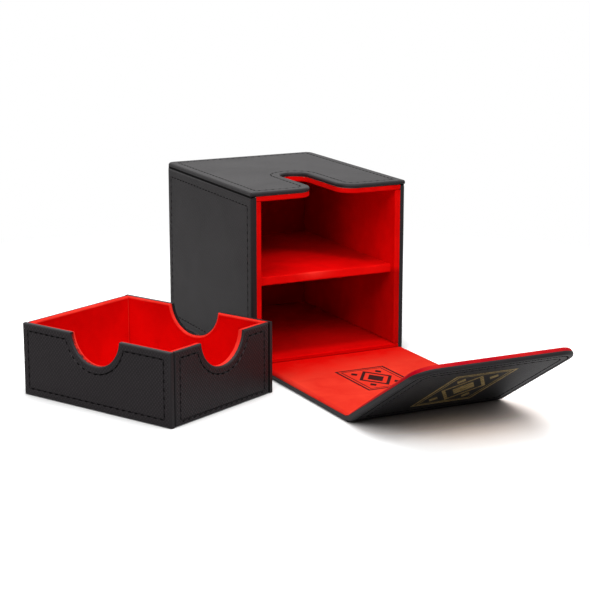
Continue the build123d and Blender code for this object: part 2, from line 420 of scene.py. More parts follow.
def clouding():
    """Soft uneven patches of several sizes."""
    group, given, result = new_group(
        "clouding",
        [("Vector", "NodeSocketVector"), ("Patches", "NodeSocketFloat"), ("Roughness", "NodeSocketFloat")],
        [("Cloud", "NodeSocketFloat")],
    )
    settings = {
        "Vector": given["Vector"],
        "Scale": given["Patches"],
        "Roughness": given["Roughness"],
        "Detail": 5.0,
        "Distortion": 0.6,
    }
    cloud = put(group, "ShaderNodeTexNoise", settings).outputs["Fac"]
    group.links.new(fit(group, cloud, 0, 1, 0.3, 0.7), result["Cloud"])
    return group


hatch = cross_hatch_grain()
clouds = clouding()


def hatched(tree, place, ridges):
    """The height of the pressed grain."""
    return use_group(tree, hatch, {"Vector": place, "Ridges": ridges})["Height"]


def clouded(tree, place, patches, roughness):
    """Soft uneven patches over a piece."""
    return use_group(tree, clouds, {"Vector": place, "Patches": patches, "Roughness": roughness})["Cloud"]


# Finishes

def leatherette(name, relief):
    """Black leatherette: pressed cross-hatch, a smoother rolled edge, faint clouding in its gloss."""
    made, tree, shader = new_material(name)
    place = put(tree, "ShaderNodeTexCoord").outputs
    edge = noted_value(tree, "edge")
    grain = hatched(tree, place["UV"], leather_ridges)
    cloud = clouded(tree, place["Object"], patches=40.0, roughness=0.5)
    pebble = noise(tree, place["UV"], scale=2600.0, detail=2.0)
    pressed = work(tree, "MULTIPLY", grain, fit(tree, edge, relief, 0.3 * relief))
    height = work(tree, "ADD", pressed, work(tree, "MULTIPLY", pebble, 0.35))
    tone = weighed(tree, pressed, 0.85, cloud, 0.06)
    colour = ramp(tree, tone, (0.0, leather_deep), (1.0, leather_bright))
    feed(tree, shader, {
        "Base Color": mix(tree, fit(tree, edge, 0.0, 0.5), colour, leather_worn),
        "Roughness": fit(tree, work(tree, "ADD", cloud, pressed), 0.48, 0.42, 0.0, 2.0),
        "Normal": dent(tree, height, 0.9, 0.00022),
    })
    keep(shader, {"Specular IOR Level": leather_gloss, "Specular Tint": leather_gloss_tint})
    return made


def microfibre(name, deep, bright, edge_tint, sheen, less_lit_colour=None):
    """Red microfibre: patches of nap brushed two ways, fine fibres, edges tinted another colour, painted
    light and shade as noted on each piece, and painted light away from the case where a less-lit colour is
    given.
    """
    made, tree, shader = new_material(name)
    place = put(tree, "ShaderNodeTexCoord").outputs["Object"]
    edge = noted_value(tree, "edge")
    brushed = clouded(tree, place, patches=75.0, roughness=0.5)
    broad = clouded(tree, place, patches=24.0, roughness=0.45)
    fibre = noise(tree, place, scale=3200.0, detail=3.0)
    nap = weighed(tree, brushed, 0.6, broad, 0.4)
    tone = weighed(tree, nap, 0.7, fibre, 0.3)
    colour = ramp(tree, tone, (0.1, deep), (0.9, bright))
    # painted light: away from the case the lining turns from the less-lit colour to the brighter, more
    # orange one
    if less_lit_colour:
        axes = put(tree, "ShaderNodeSeparateXYZ", {0: place}).outputs
        along = work(tree, "SUBTRACT", axes["Y"], work(tree, "MULTIPLY", axes["X"], painted_light_slant))
        wavered = work(tree, "ADD", along, fit(tree, brushed, -painted_light_waver / 2, painted_light_waver / 2))
        lit_share = fit(tree, wavered, 0.0, 1.0, painted_light_start_y, painted_light_end_y)
        colour = mix(tree, lit_share, (*less_lit_colour, 1), colour)
    # edge tint: painted highlight on the tray's rims, painted shade on the flap's edges, wear on the
    # shelf's edge
    edge_tint_mask = work(tree, "MULTIPLY", edge, fit(tree, brushed, 0.28, 0.52))
    shown = mix(tree, edge_tint_mask, colour, (*edge_tint, 1))
    height = work(tree, "ADD", work(tree, "MULTIPLY", nap, 0.5), fibre)
    # the colour is made brighter or darker by the noted share of painted light and shade
    feed(tree, shader, {
        "Base Color": scaled(tree, shown, work(tree, "ADD", noted_value(tree, "lean"), 1.0)),
        "Roughness": fit(tree, fibre, 0.82, 0.98),
        "Normal": dent(tree, height, 0.35, 0.00012),
    })
    keep(shader, {
        "Specular IOR Level": 0.02,
        "Sheen Weight": sheen,
        "Sheen Roughness": 0.35,
        "Sheen Tint": sheen_tint,
    })
    return made


def sewing_thread():
    """Black twisted thread."""
    made, tree, shader = new_material("black_thread")
    place = put(tree, "ShaderNodeTexCoord").outputs["Object"]
    lint = noise(tree, place, scale=5000.0, detail=2.0)
    feed(tree, shader, {
        "Base Color": ramp(tree, lint, (0.3, (0.0012, 0.0011, 0.0012)), (0.8, (0.004, 0.0038, 0.004))),
        "Roughness": fit(tree, lint, 0.7, 0.9),
        "Normal": dent(tree, lint, 0.4, 0.0001),
    })
    keep(shader, {"Specular IOR Level": 0.06})
    return made


def greyboard():
    """Grey recycled board with specks."""
    made, tree, shader = new_material("greyboard")
    place = put(tree, "ShaderNodeTexCoord").outputs["Object"]
    cloud = clouded(tree, place, patches=180.0, roughness=0.7)
    feed(tree, shader, {
        "Base Color": ramp(tree, cloud, (0.0, (0.30, 0.275, 0.24)), (1.0, (0.47, 0.44, 0.39))),
        "Roughness": fit(tree, cloud, 0.8, 0.95),
        "Normal": dent(tree, cloud, 0.3, 0.0002),
    })
    return made


def magnet_steel():
    """Plated magnet, faintly mottled."""
    made, tree, shader = new_material("magnet_plating")
    place = put(tree, "ShaderNodeTexCoord").outputs["Object"]
    marks = clouded(tree, place, patches=900.0, roughness=0.6)
    feed(tree, shader, {
        "Base Color": ramp(tree, marks, (0.0, (0.55, 0.55, 0.57)), (1.0, (0.68, 0.68, 0.69))),
        "Roughness": fit(tree, marks, 0.25, 0.4),
    })
    keep(shader, {"Metallic": 1.0})
    return made


def gold_foil():
    """Gold foil pressed into the leatherette, broken by its grain."""
    made, tree, shader = new_material("gold_foil")
    place = put(tree, "ShaderNodeTexCoord").outputs
    grain = hatched(tree, place["UV"], foil_ridges)
    cloud = clouded(tree, place["Object"], patches=320.0, roughness=0.6)
    whole = weighed(tree, grain, 0.5, cloud, 0.5)
    feed(tree, shader, {
        "Base Color": ramp(tree, whole, (0.05, foil_dull), (0.45, foil_bright)),
        "Roughness": fit(tree, whole, 0.55, 0.38),
        "Metallic": fit(tree, whole, 0.5, 0.85, 0.0, 0.3),
        "Normal": dent(tree, grain, 0.4, 0.00012),
    })
    return made


def dark_print():
    """Dark ink soaked into the nap."""
    made, tree, shader = new_material("dark_print")
    place = put(tree, "ShaderNodeTexCoord").outputs["Object"]
    cloud = clouded(tree, place, patches=600.0, roughness=0.65)
    feed(tree, shader, {
        "Base Color": ramp(tree, cloud, (0.1, (0.010, 0.001, 0.001)), (1.0, (0.045, 0.003, 0.003))),
        "Roughness": fit(tree, cloud, 0.85, 0.97),
        "Normal": dent(tree, cloud, 0.3, 0.0001),
    })
    keep(shader, {"Specular IOR Level": 0.15})
    return made


finishes = {
    "leatherette": leatherette("black_leatherette", case_relief),
    "tray leatherette": leatherette("black_tray_leatherette", tray_relief),
    "microfibre": microfibre("red_microfibre", fibre_deep, fibre_bright, fibre_wear_and_highlight, fibre_sheen),
    "painted lit flap microfibre": microfibre(
        "red_flap_microfibre", flap_fibre_lit_deep, flap_fibre_lit_bright, flap_fibre_edge_shade, flap_fibre_sheen,
        less_lit_colour=flap_fibre_less_lit,
    ),
    "thread": sewing_thread(),
    "greyboard": greyboard(),
    "magnet": magnet_steel(),
    "foil": gold_foil(),
    "print": dark_print(),
}


# Modelling helpers

def own_box(node):
    """The lowest and highest corner of a solid in its body's own axes."""
    solid = frame["nodes"][node]
    back = own_axes[solid["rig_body"]].inverted()
    places = list(zip(*(back @ corner.co for corner in solid.data.vertices)))
    return Vector(map(min, places)), Vector(map(max, places))


def alone(piece):
    """Selects one piece and nothing else."""
    bpy.ops.object.select_all(action="DESELECT")
    piece.select_set(True)
    bpy.context.view_layer.objects.active = piece


def apply_place():
    bpy.ops.object.transform_apply(location=True, rotation=True, scale=True)


def block(name, low, high):
    """A block between two corners."""
    bpy.ops.object.select_all(action="DESELECT")
    bpy.ops.mesh.primitive_cube_add(size=1, location=(low + high) / 2, scale=high - low)
    apply_place()
    bpy.context.object.name = name
    return bpy.context.object


def rod(radius, depth, place, along, sides):
    """A round rod with its middle at a place."""
    bpy.ops.object.select_all(action="DESELECT")
    turn = along.to_track_quat("Z", "Y").to_euler()
    bpy.ops.mesh.primitive_cylinder_add(
        vertices=sides, radius=radius, depth=depth, location=place, rotation=turn
    )
    apply_place()
    return bpy.context.object


def use_modifier(piece, kind, **settings):
    """Adds a modifier and applies it."""
    alone(piece)
    made = piece.modifiers.new(kind.lower(), kind)
    for setting, value in settings.items():
        setattr(made, setting, value)
    bpy.ops.object.modifier_apply(modifier=made.name)


def joined(name, pieces):
    """Makes several pieces one."""
    bpy.ops.object.select_all(action="DESELECT")
    for piece in pieces:
        piece.select_set(True)
    bpy.context.view_layer.objects.active = pieces[0]
    bpy.ops.object.join()
    bpy.context.object.name = name
    return bpy.context.object


def pick(piece, kind, wanted):
    """Selects only the vertices, edges or faces that pass a test, and stays in edit mode."""
    if bpy.context.mode == "OBJECT":
        alone(piece)
        bpy.ops.object.mode_set(mode="EDIT")
    bpy.ops.mesh.select_mode(type=kind)
    bpy.ops.mesh.select_all(action="DESELECT")
    cage = bmesh.from_edit_mesh(piece.data)
    cage.normal_update()
    parts = {"VERT": cage.verts, "EDGE": cage.edges, "FACE": cage.faces}[kind]
    for part in parts:
        if wanted(part):
            part.select_set(True)
    cage.select_flush_mode()
    bmesh.update_edit_mesh(piece.data)


def leave_edit():
    bpy.ops.object.mode_set(mode="OBJECT")


def carve(piece, cutter):
    """Cuts one shape out of a piece and closes up the short edges that leaves."""
    use_modifier(piece, "BOOLEAN", operation="DIFFERENCE", solver="EXACT", object=cutter)
    bpy.data.objects.remove(cutter)
    pick(piece, "VERT", lambda corner: True)
    bpy.ops.mesh.remove_doubles(threshold=shortest_edge)
    leave_edit()


def bevel(width, steps=edge_steps):
    """Rounds the selected edges."""
    bpy.ops.mesh.bevel(offset=width, segments=steps, profile=0.5, affect="EDGES", clamp_overlap=False)


def near(first, second):
    return abs(first - second) < same_place


def all_at(edge, level, facing):
    """Whether both ends of an edge lie at one level."""
    return all(near(corner.co.dot(facing), level) for corner in edge.verts)


def spread_x(edge):
    """How far an edge runs from left to right."""
    return abs(edge.verts[0].co.x - edge.verts[1].co.x)


def spaced(first, last, count):
    """Even places after the first one, up to the last."""
    return [first + (last - first) * (k + 1) / count for k in range(count)]


def mark_edge(piece, share_at=lambda place: 1.0):
    """Notes all but the selected corners as the piece's rolled edge, each with its share of the edge tint,
    which is wear on the leatherette and painted highlight or shade on most linings.
    """
    leave_edit()
    noted = piece.data.attributes.new("edge", "FLOAT", "POINT")
    for corner, value in zip(piece.data.vertices, noted.data):
        value.value = 0.0 if corner.select else share_at(corner.co)


def smooth_step(share):
    """A share from 0 to 1 that starts and ends gently."""
    share = min(1.0, max(0.0, share))
    return share * share * (3 - 2 * share)


def bump_at(x, place, width):
    """A share that is 1 at a place and falls off smoothly on both sides."""
    return math.exp(-(((x - place) / width) ** 2))


def painted_light_along(y, light_shares, place, width):
    """The painted light or shade at a distance from the front, which changes smoothly at a place."""
    front, back = light_shares
    return front + (back - front) * smooth_step((y - place) / width + 0.5)


def lining_painted_light(node, place):
    """The painted light or shade of a lining at a place: the share by which its colour is made brighter or
    darker.
    """
    if node == "shelf_lining":
        forward = place.y + shelf_shade_curve * min(shelf_shade_reach, max(0.0, place.x)) ** 2
        turn = smooth_step(place.x / shelf_shade_turn)
        left, right = painted_light_along(forward, **shelf_painted_light), painted_light_along(forward, **right_shelf_painted_light)
        return left * (1 - turn) + right * turn
    if node == "floor_lining":
        return painted_light_along(place.y, **floor_painted_light) + painted_light_along(place.y, **floor_back_painted_light)
    if node == "right_lining":
        low, high = own_box("shelf_lining")
        return painted_light_along(place.y, **(upper_painted_light if place.z > (low.z + high.z) / 2 else lower_painted_light))
    return painted_light_shares.get(node, tray_painted_light_share)


def cut_rows(piece, low_y, high_y, levels=()):
    """Cuts rows across a lining from front to back, and at the given heights."""
    planes = [(Vector((0, y, 0)), BACK) for y in spaced(low_y, high_y, bay_rows)[:-1]]
    planes += [(Vector((0, 0, z)), UP) for z in levels]
    for place, across in planes:
        pick(piece, "FACE", lambda face: True)
        bpy.ops.mesh.bisect(plane_co=place, plane_no=across)
    leave_edit()


def note_painted_light(piece, lean_at):
    """Notes the painted light or shade of a lining at each place."""
    noted = piece.data.attributes.new("lean", "FLOAT", "POINT")
    for corner, value in zip(piece.data.vertices, noted.data):
        value.value = lean_at(corner.co)


def round_corners(piece, facing, corners, radius, steps):
    """Rounds the upright edges of a panel at the given places."""
    def upright(edge):
        first, second = (corner.co for corner in edge.verts)
        along = (second - first).normalized()
        return abs(along.dot(facing)) > square_share and any(
            (first - place).cross(facing).length < shortest_edge for place in corners
        )

    pick(piece, "EDGE", upright)
    bevel(radius, steps)
    leave_edit()


def round_long_edges(piece, level, width):
    """Rounds the edges of a block that run from front to back at one height."""
    pick(piece, "EDGE", lambda edge: all_at(edge, level, UP) and spread_x(edge) < same_place)
    bevel(width)
    leave_edit()


def soften_rim(piece, facing, width):
    """Rounds the edge round a panel's face, and leaves the rounding selected."""
    level = max(corner.co.dot(facing) for corner in piece.data.vertices)
    pick(piece, "EDGE", lambda edge: all_at(edge, level, facing) and edge.calc_face_angle() > rim_angle)
    bevel(width)


def pick_face(piece, facing):
    """Selects the faces that look one way."""
    pick(piece, "FACE", lambda face: face.normal.dot(facing) > facing_share)


def inset(width, depth=0.0):
    """Insets the selected face in short steps, and closes up the corners that meet on the way."""
    steps = math.ceil(width / creep_step)
    for _ in range(steps):
        bpy.ops.mesh.inset(
            thickness=width / steps, depth=depth / steps, use_even_offset=True, use_relative_offset=False
        )
        bpy.ops.mesh.remove_doubles(threshold=creep_step * creep_closing_share)


def picked_outline(piece):
    """The corners of the one selected face, in order."""
    cage = bmesh.from_edit_mesh(piece.data)
    face = next(face for face in cage.faces if face.select)
    return [corner.co.copy() for corner in face.verts]


def pick_inner(piece, facing):
    """Selects the largest of the faces that look one way."""
    pick_face(piece, facing)
    cage = bmesh.from_edit_mesh(piece.data)
    largest = max((face for face in cage.faces if face.select), key=lambda face: face.calc_area()).index
    pick(piece, "FACE", lambda face: face.index == largest)


def shift_seam(piece, facing, seam_inset, end_shifts, foot_shift):
    """Moves the inset outline of a wall in at its two ends, and up or down along its foot."""
    across = facing.cross(UP)
    corners = bmesh.from_edit_mesh(piece.data).verts
    reach = max(corner.co.dot(across) for corner in corners) - seam_inset
    foot = min(corner.co.z for corner in corners) + seam_inset
    level = max(corner.co.dot(facing) for corner in corners)

    def on_face(corner):
        return near(corner.co.dot(facing), level)

    for side, end_shift in zip((-1, 1), end_shifts):
        pick(piece, "VERT", lambda corner: on_face(corner) and near(corner.co.dot(across) * side, reach))
        bpy.ops.transform.translate(value=-side * end_shift * across)
    pick(piece, "VERT", lambda corner: on_face(corner) and near(corner.co.z, foot))
    bpy.ops.transform.translate(value=UP * foot_shift)
    pick_inner(piece, facing)


def press_seam(piece, depth):
    """Presses a groove round the inside of the selected face, and returns the line of its floor."""
    inset(seam_width / 2, -depth)
    seam = picked_outline(piece)
    inset(seam_width / 2, depth)
    return seam


def lay_grain(piece):
    """A UV map in metres, flat on each side of the piece."""
    pick(piece, "FACE", lambda face: True)
    bpy.ops.uv.cube_project(cube_size=1.0, correct_aspect=False)
    leave_edit()


def open_back(piece, facing, skin):
    """Makes a panel a skin that is open at its back."""
    pick_face(piece, -facing)
    bpy.ops.mesh.delete(type="FACE")
    leave_edit()
    lay_grain(piece)
    use_modifier(piece, "SOLIDIFY", thickness=skin, offset=-1, use_even_offset=True)


def smooth(piece):
    """Shades a piece smooth, with its sharper edges kept."""
    alone(piece)
    bpy.ops.object.shade_smooth_by_angle(angle=smooth_angle)
    use_modifier(piece, "WEIGHTED_NORMAL", keep_sharp=True)


def finish_as(piece, finish):
    """Gives a piece its finish."""
    piece.data.materials.clear()
    piece.data.materials.append(finishes[finish])


def settle(piece, body, finish, slot, *nodes):
    """Turns a piece from its body's own axes to where it stands, and hands it to that body."""
    alone(piece)
    piece.matrix_world = own_axes[body]
    apply_place()
    finish_as(piece, finish)
    if nodes:
        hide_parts(*nodes)
    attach(piece, body)


# Sewing

def stitch_model():
    """One stitch along X: a thread whose ends dip into their holes."""
    straight = stitch_length * stitch_straight_share
    stitch = rod(stitch_thickness / 2, straight, Vector(), RIGHT, stitch_sides)
    for side in (LEFT, RIGHT):
        pick_face(stitch, side)
        dip = side * stitch_length * stitch_dip_share + DOWN * stitch_thickness * dip_depth_share
        bpy.ops.mesh.extrude_region_move(TRANSFORM_OT_translate={"value": dip})
        bpy.ops.transform.resize(value=(dip_taper_share,) * 3)
        leave_edit()
    alone(stitch)
    bpy.ops.object.shade_smooth_by_angle(angle=stitch_smooth_angle)
    return stitch


def seam_runs(seam):
    """Cuts a closed seam at its corners."""
    count = len(seam)
    corners = [
        k for k in range(count)
        if (seam[k] - seam[k - 1]).angle(seam[(k + 1) % count] - seam[k]) > seam_corner
    ] or [0]
    for first, last in zip(corners, corners[1:] + [corners[0] + count]):
        yield [seam[k % count] for k in range(first, last + 1)]


def along_run(run, pitch):
    """Places and directions of whole stitches along one run."""
    spans = [(second - first).length for first, second in zip(run, run[1:])]
    number = max(1, round(sum(spans) / pitch))
    for k in range(number):
        left = (k + 0.5) * sum(spans) / number
        for first, second, span in zip(run, run[1:], spans):
            if left <= span:
                break
            left -= span
        direction = (second - first).normalized()
        yield first + direction * left, direction


def sew(name, seam, facing, body, pitch, thread_share):
    """Sews along a seam: copies of the stitch in one piece."""
    share = pitch / stitch_pitch
    copies = []
    for run in seam_runs(seam):
        for place, direction in along_run(run, pitch):
            copy = stitch.copy()
            copy.data = stitch.data.copy()
            turn = Matrix((direction, facing.cross(direction), facing)).transposed().to_4x4()
            slant = Matrix.Rotation(stitch_slant, 4, "Z")
            size = Matrix.Diagonal((share, thread_share, thread_share, 1))
            copy.matrix_world = Matrix.Translation(place + facing * stitch_rise) @ turn @ slant @ size
            bpy.context.collection.objects.link(copy)
            copies.append(copy)
    sewn = joined(name, copies)
    apply_place()
    settle(sewn, body, "thread", "leatherette")


# Panels

def piece_box(piece):
    """The lowest and highest corner of a piece."""
    return Vector(piece.bound_box[0]), Vector(piece.bound_box[6])


def stretched(low, high, step):
    """A box drawn out on the side that a step points to."""
    return low + Vector(min(0, part) for part in step), high + Vector(max(0, part) for part in step)


def cut_notch(piece, facing, top_z):
    """Cuts the round finger cut-out in the middle of a wall's upper edge."""
    low, high = piece_box(piece)
    radius = (notch_width**2 / 4 + notch_depth**2) / (2 * notch_depth)
    middle = (low + high) / 2
    middle.z = top_z + radius - notch_depth
    carve(piece, rod(radius, cutter_overrun, middle, facing, notch_sides))


def cut_slot(piece):
    """Cuts the thumb slot in from the front edge of a plate and rounds its mouth."""
    low, high = piece_box(piece)
    end_y = own_box("left_wall_cover")[0].y + slot_length
    reach = Vector((slot_width / 2, 0, cutter_overrun))
    first = Vector((0, low.y - cutter_overrun, low.z)) - reach
    cutter = block("slot_cutter", first, Vector((0, end_y, high.z)) + reach)
    ends = [Vector((side * slot_width / 2, end_y, low.z)) for side in (-1, 1)]
    round_corners(cutter, UP, ends, slot_width / 2 - shortest_edge / 4, slot_end_steps)
    carve(piece, cutter)
    mouth = [Vector((side * slot_width / 2, low.y, low.z)) for side in (-1, 1)]
    round_corners(piece, UP, mouth, slot_mouth_radius, slot_mouth_steps)


def round_plate(piece):
    """Rounds a plate's corners seen from above, those at the back more."""
    low, high = piece_box(piece)
    for y, radius in ((low.y, plate_front_radius), (high.y, plate_back_radius)):
        places = [Vector((x, y, low.z)) for x in (low.x, high.x)]
        round_corners(piece, UP, places, radius, plate_corner_steps)


def top_shape(piece):
    """Rounds the top's corners and cuts its thumb slot."""
    round_plate(piece)
    cut_slot(piece)


def leather_panel(
    node, facing, body, edge, seam_inset, box=None, shape=None, shifts=None, second_seam=False
):
    """A leatherette panel with a rolled edge and a sewn line, in place of a plain cover."""
    name = node.replace("_cover", "")
    panel = block(name + "_leatherette", *(box or own_box(node)))
    if shape:
        shape(panel)
    soften_rim(panel, facing, edge)
    pick_face(panel, facing)
    inset(creep_step)
    mark_edge(panel)
    pick_inner(panel, facing)
    inset(seam_inset - edge - creep_step)
    if shifts:
        shift_seam(panel, facing, seam_inset, *shifts)
    thread_share = case_seam_share if body == "case" else 1.0
    seams = [press_seam(panel, seam_depth * thread_share)]
    if second_seam:
        inset(second_seam_inset)
        seams.append(press_seam(panel, seam_depth * thread_share))
    leave_edit()
    open_back(panel, facing, leather_skin)
    smooth(panel)
    settle(panel, body, "tray leatherette" if body == "tray" else "leatherette", "leatherette", node)
    pitches = (fine_pitch, stitch_pitch) if second_seam else (stitch_pitch,)
    for number, (seam, pitch) in enumerate(zip(seams, pitches), 1):
        sew(f"{name}_stitches_{number}", seam, facing, body, pitch, thread_share)


def fibre_panel(node, facing, body, shape=None, edge_tint_share=1.0, box=None):
    """A microfibre panel with a rolled edge and a pressed border, in place of a plain lining."""
    panel = block(node + "_microfibre", *(box or own_box(node)))
    if shape:
        shape(panel)
    soften_rim(panel, facing, fibre_edge)
    pick_face(panel, facing)
    inset(creep_step)
    mark_edge(panel, lambda place: edge_tint_share)
    pick_inner(panel, facing)
    inset(fibre_border - creep_step, -fibre_border_depth)
    leave_edit()
    if node in ("right_lining", "floor_lining"):
        low, high = piece_box(panel)
        shelf_low, shelf_high = own_box("shelf_lining")
        hidden = [shelf_low.z + fibre_skin, shelf_high.z - fibre_skin] if node == "right_lining" else []
        cut_rows(panel, low.y, high.y, hidden)
    open_back(panel, facing, fibre_skin)
    # painted light and shade on the lining
    note_painted_light(panel, lambda place: lining_painted_light(node, place))
    smooth(panel)
    settle(panel, body, "microfibre", "microfibre", node)


def shade_strip(name, body, facing, low, high):
    """A near-black strip sunk in a joint: painted shade for its dark gap."""
    piece = block(name, low, high)
    soften_rim(piece, facing, leather_skin / 2)
    leave_edit()
    smooth(piece)
    settle(piece, body, "thread", "leatherette")


def case_walls():
    """The case's leatherette walls, each with a near-black strip of painted shade in the joint over it."""
    for node, facing in (("left_wall_cover", LEFT), ("right_wall_cover", RIGHT), ("back_wall_cover", BACK)):
        low, high = own_box(node)
        high += DOWN * wall_top_gap
        box = stretched(low, high, facing * wall_swell * abs(facing.x))
        leather_panel(node, facing, "case", wall_edge, case_seam_inset, box)
        low += RIGHT * wall_joint_sink + BACK * wall_joint_sink
        high += LEFT * wall_joint_sink + FRONT * wall_joint_sink
        low.z = high.z - wall_top_gap
        low, high = stretched(low, high, facing * (wall_joint_sink + wall_joint_stand))
        high += UP * joint_cover_share * wall_top_gap
        shade_strip(node.replace("cover", "joint"), "case", facing, low, high)


def case_plates():
    """The case's leatherette top and bottom."""
    low, high = own_box("top_cover")
    box = (low + LEFT * plate_side_swell, high + RIGHT * plate_side_swell + BACK * plate_back_swell)
    leather_panel("top_cover", UP, "case", plate_edge, case_seam_inset, box, top_shape)
    leather_panel("bottom_cover", DOWN, "case", plate_edge, case_seam_inset, shape=round_plate)


def case_linings():
    """The microfibre linings inside the case."""
    low, high = own_box("ceiling_lining")
    ceiling_box = (low, high + DOWN * ceiling_gap)
    for node, facing, shape, edge_tint_share in (
        ("floor_lining", UP, None, 0.0),
        ("left_lining", RIGHT, None, case_edge_tint_share),
        ("right_lining", LEFT, None, case_edge_tint_share),
        ("back_lining", FRONT, None, case_edge_tint_share),
        ("ceiling_lining", DOWN, cut_slot, case_edge_tint_share),
    ):
        box = ceiling_box if node == "ceiling_lining" else None
        fibre_panel(node, facing, "case", shape, edge_tint_share, box)


def shelf():
    """The shelf: microfibre over both faces and round a front edge that isn't quite straight."""
    low, high = own_box("shelf_lining")
    board = block("shelf_microfibre", low, high)
    pick(board, "EDGE", lambda edge: all_at(edge, low.y, BACK) and spread_x(edge) > fibre_edge)
    bevel(fibre_edge)
    reach = low.y + fibre_border
    pick(board, "FACE", lambda face: abs(face.normal.z) > square_share)
    bpy.ops.mesh.bisect(plane_co=(0, reach, 0), plane_no=BACK)
    cut_rows(board, reach, high.y)
    pick(board, "EDGE", lambda edge: spread_x(edge) > fibre_edge)
    bpy.ops.mesh.subdivide(number_cuts=shelf_cuts)
    pick(board, "VERT", lambda corner: corner.co.y > reach - same_place)

    def shelf_wear(place):
        rub_share = shelf_rub_share if place.z > (low.z + high.z) / 2 else 0.0
        return case_edge_tint_share + rub_share * bump_at(place.x, shelf_rub_place, shelf_rub_width)

    def on_wavy_edge(corner):
        inside = low.x + fibre_border < corner.co.x < high.x - fibre_border
        return inside and corner.co.y < reach - same_place

    mark_edge(board, shelf_wear)
    pick(board, "VERT", on_wavy_edge)
    bpy.ops.transform.vertex_random(offset=shelf_wave, uniform=0.0, normal=0.0, seed=shelf_seed)
    leave_edit()
    lay_grain(board)
    # painted light at the shelf's front and painted shade further back
    note_painted_light(board, lambda place: lining_painted_light("shelf_lining", place))
    smooth(board)
    settle(board, "case", "microfibre", "microfibre", "shelf_lining")


def tray_joints(tray_half_width):
    """A near-black strip of painted shade sunk in the upright joint at each corner of the tray."""
    low, high = own_box("tray_front_cover")
    middle_x = tray_half_width - tray_end_width - tray_end_gap / 2
    for side_x in (-1, 1):
        for side_y, name in ((-1, "front"), (1, "rear")):
            first = Vector((side_x * middle_x - tray_end_gap, low.y + tray_joint_sink, low.z))
            last = Vector((side_x * middle_x + tray_end_gap, high.y, high.z - leather_edge))
            if side_y > 0:
                first.y, last.y = -last.y, -first.y
            side = "left" if side_x < 0 else "right"
            shade_strip(f"tray_{name}_{side}_joint", "tray", Vector((0, side_y, 0)), first, last)


def tray_panels():
    """The tray's four walls and its base, each with its lining."""
    tray_half_width = own_box("tray_right_cover")[1].x
    top_z = own_box("tray_left_cover")[1].z
    for wall, outward in (("left", LEFT), ("right", RIGHT), ("front", FRONT), ("rear", BACK)):
        shape = None if wall == "rear" else lambda panel: cut_notch(panel, outward, top_z)
        low, high = own_box(f"tray_{wall}_cover")
        if outward.x < 0:
            high.x = low.x + tray_end_width
            shifts = ((tray_end_shift, 0.0), 0.0)
        elif outward.x > 0:
            low.x = high.x - tray_end_width
            shifts = ((0.0, tray_end_shift), 0.0)
        else:
            high.x = tray_half_width - tray_end_width - tray_end_gap
            low.x = -high.x
            shifts = ((0.0, 0.0), -tray_foot_drop)
        leather_panel(
            f"tray_{wall}_cover", outward, "tray", leather_edge, tray_seam_inset, (low, high), shape, shifts
        )
        low, high = own_box(f"tray_{wall}_lining")
        high.z += tray_lining_rise
        if outward.x:
            low.y, high.y = own_box("tray_front_cover")[1].y, own_box("tray_rear_cover")[0].y
        # the full edge tint: painted highlight on the tray's lining rims
        fibre_panel(f"tray_{wall}_lining", -outward, "tray", shape, box=(low, high))
    tray_joints(tray_half_width)
    leather_panel("tray_base_cover", DOWN, "tray", leather_edge, tray_seam_inset)
    fibre_panel("tray_floor_lining", UP, "tray")


# Flap

def free_corners(panel, node):
    """Rounds the two corners at the flap's free end."""
    low, high = own_box(node)
    places = [Vector((x, low.y, low.z)) for x in (low.x, high.x)]
    inset_by = own_box("top_flap_cover")[1].x - high.x
    round_corners(panel, UP, places, flap_corner_radius - inset_by, flap_corner_steps)


def extend(piece, facing, rings):
    """Draws the end face of a piece out through rings of (place along Y, low, high)."""
    pick_face(piece, facing)
    for y, low, high in rings:
        cage = bmesh.from_edit_mesh(piece.data)
        face = next(face for face in cage.faces if face.select)
        heights = [corner.co.z for corner in face.verts]
        middle = face.calc_center_median()
        step = Vector((0, y - middle.y, (low + high) / 2 - middle.z))
        bpy.ops.mesh.extrude_region_move(TRANSFORM_OT_translate={"value": step})
        taller = (high - low) / (max(heights) - min(heights))
        bpy.ops.transform.resize(value=(1, 1, taller), center_override=middle + step)
    leave_edit()


def bend_at_fold(piece, start_y, end_y):
    """Gives a flat piece the rest angle of the fold: each corner turns by its smooth share."""
    shares = {}
    for corner in piece.data.vertices:
        share = smooth_step((start_y - corner.co.y) / (start_y - end_y))
        shares.setdefault(round(share, 6), set()).add(corner.index)
    for share, members in shares.items():
        if share:
            pick(piece, "VERT", lambda corner: corner.index in members)
            angle = share * fold_angle
            bpy.ops.transform.rotate(value=angle, orient_axis="X", center_override=fold_point)
            leave_edit()


